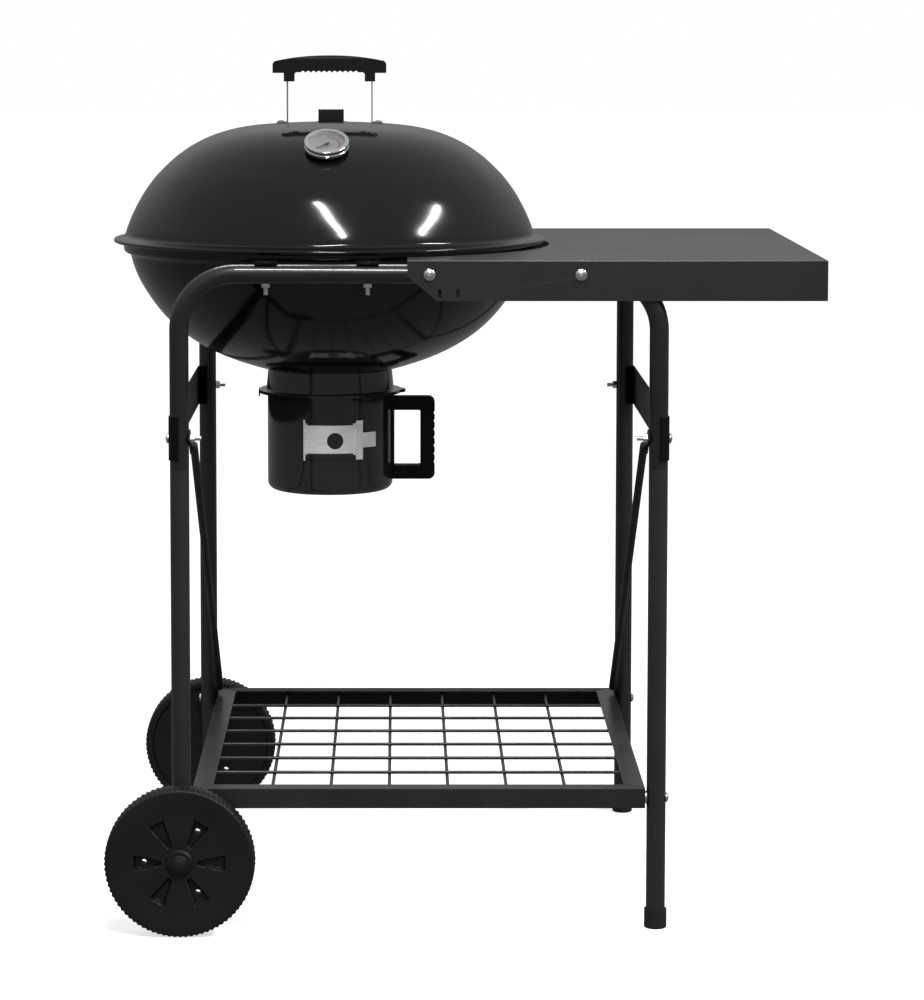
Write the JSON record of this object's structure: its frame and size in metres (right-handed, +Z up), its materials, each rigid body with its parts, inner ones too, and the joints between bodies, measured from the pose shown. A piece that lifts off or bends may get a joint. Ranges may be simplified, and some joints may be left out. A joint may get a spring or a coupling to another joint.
{
  "type": "kettle charcoal grill",
  "caption": "Round-lidded charcoal grill on a wheeled tube cart with a side table, lower wire shelf, ash can with air damper, lid thermometer and vent.",
  "frame": {"origin": "on the ground under the middle of the grill's outline", "axes": "+Z up; the front (thermometer and ash-can damper side) faces -Y; the side table is on the +X side, the wheels on the -X side"},
  "size_m": [0.9068, 0.7484, 1.09],
  "materials": {
    "kettle_enamel": "glossy porcelain enamel, black",
    "can_enamel": "glossy porcelain enamel, black",
    "frame_paint": "satin black powder coat",
    "bracket_paint": "semi-gloss black",
    "shelf_paint": "satin black powder coat",
    "table_paint": "fine-textured satin black powder coat",
    "handle_plastic": "matt black, heat-resistant moulding",
    "wheel_plastic": "satin black moulding",
    "foot_rubber": "matt black",
    "zinc": "zinc-plated",
    "stainless": "brushed",
    "grate_plating": "satin chrome plate",
    "dial_chrome": "polished",
    "dial_face": "satin",
    "needle_black": "matt",
    "dial_glass": "clear"
  },
  "bodies": {
    "cart": {"ash_collar": "kettle_enamel", "axle": "zinc", "axle_cap_nuts": "wheel_plastic", "axle_spacers": "wheel_plastic", "bowl_lugs": "bracket_paint", "bowl_shell": "kettle_enamel", "frame_bolts": "zinc", "frame_nuts": "zinc", "front_left_leg": "frame_paint", "front_right_foot_cap": "foot_rubber", "front_right_leg": "frame_paint", "front_upper_frame": "frame_paint", "grate_ledges": "kettle_enamel", "left_brace": "bracket_paint", "left_side_bracket": "bracket_paint", "lug_nuts": "zinc", "lug_studs": "zinc", "rear_left_leg": "frame_paint", "rear_right_foot_cap": "foot_rubber", "rear_right_leg": "frame_paint", "rear_upper_frame": "frame_paint", "right_brace": "bracket_paint", "right_side_bracket": "bracket_paint", "shelf_front_rail": "shelf_paint", "shelf_left_rail": "shelf_paint", "shelf_rear_rail": "shelf_paint", "shelf_right_rail": "shelf_paint", "shelf_wire_mesh": "shelf_paint", "side_table": "table_paint", "table_bolts": "zinc"},
    "lid": {"lid_shell": "kettle_enamel", "lid_handle_bracket": "stainless", "lid_handle_grip": "handle_plastic", "lid_handle_bolts": "zinc", "thermometer_housing": "dial_chrome", "thermometer_dial": "dial_face", "thermometer_lens": "dial_glass", "thermometer_nut": "zinc", "lid_vent_rivet": "zinc"},
    "dial_needle": {"thermometer_needle": "needle_black"},
    "vent_damper": {"lid_vent_damper": "bracket_paint", "lid_vent_knob": "handle_plastic"},
    "ash_can_body": {"ash_can": "can_enamel", "ash_can_handle": "handle_plastic", "ash_can_handle_screws": "zinc", "damper_guides": "can_enamel"},
    "can_damper": {"ash_can_damper": "stainless"},
    "wheel_front": {"front_wheel": "wheel_plastic"},
    "wheel_rear": {"rear_wheel": "wheel_plastic"},
    "cooking_grate_body": {"cooking_grate": "grate_plating", "cooking_grate_handles": "grate_plating"},
    "charcoal_grate_body": {"charcoal_grate": "grate_plating"}
  },
  "joints": [
    {"name": "lid_lift", "type": "slide", "parent": "cart", "child": "lid", "axis": [0, 0, 1], "range_m": [0, 0.3]},
    {"name": "needle_turn", "type": "hinge", "parent": "lid", "child": "dial_needle", "pos_m": [-0.16738, -0.181, 0.97222], "axis": [0, -0.5113, 0.8594], "range_deg": [-255, 0], "stiffness_Nm_per_rad": 0.0001},
    {"name": "vent_turn", "type": "hinge", "parent": "lid", "child": "vent_damper", "pos_m": [-0.16738, 0.128, 0.99309], "axis": [0, 0.2288, 0.9735], "range_deg": [0, 45]},
    {"name": "ash_can_drop", "type": "slide", "parent": "cart", "child": "ash_can_body", "axis": [0, 0, -1], "range_m": [0, 0.2]},
    {"name": "can_damper_turn", "type": "hinge", "parent": "ash_can_body", "child": "can_damper", "pos_m": [-0.16738, 0, 0.587], "axis": [0, 0, 1], "range_deg": [-16, 16]},
    {"name": "front_wheel_spin", "type": "hinge", "parent": "cart", "child": "wheel_front", "pos_m": [-0.34838, -0.349, 0.09375], "axis": [0, 1, 0], "continuous": true},
    {"name": "rear_wheel_spin", "type": "hinge", "parent": "cart", "child": "wheel_rear", "pos_m": [-0.34838, 0.349, 0.09375], "axis": [0, 1, 0], "continuous": true},
    {"name": "cooking_grate_lift", "type": "slide", "parent": "cart", "child": "cooking_grate_body", "axis": [0, 0, 1], "range_m": [0, 0.05]},
    {"name": "charcoal_grate_lift", "type": "slide", "parent": "cart", "child": "charcoal_grate_body", "axis": [0, 0, 1], "range_m": [0, 0.03]}
  ]
}
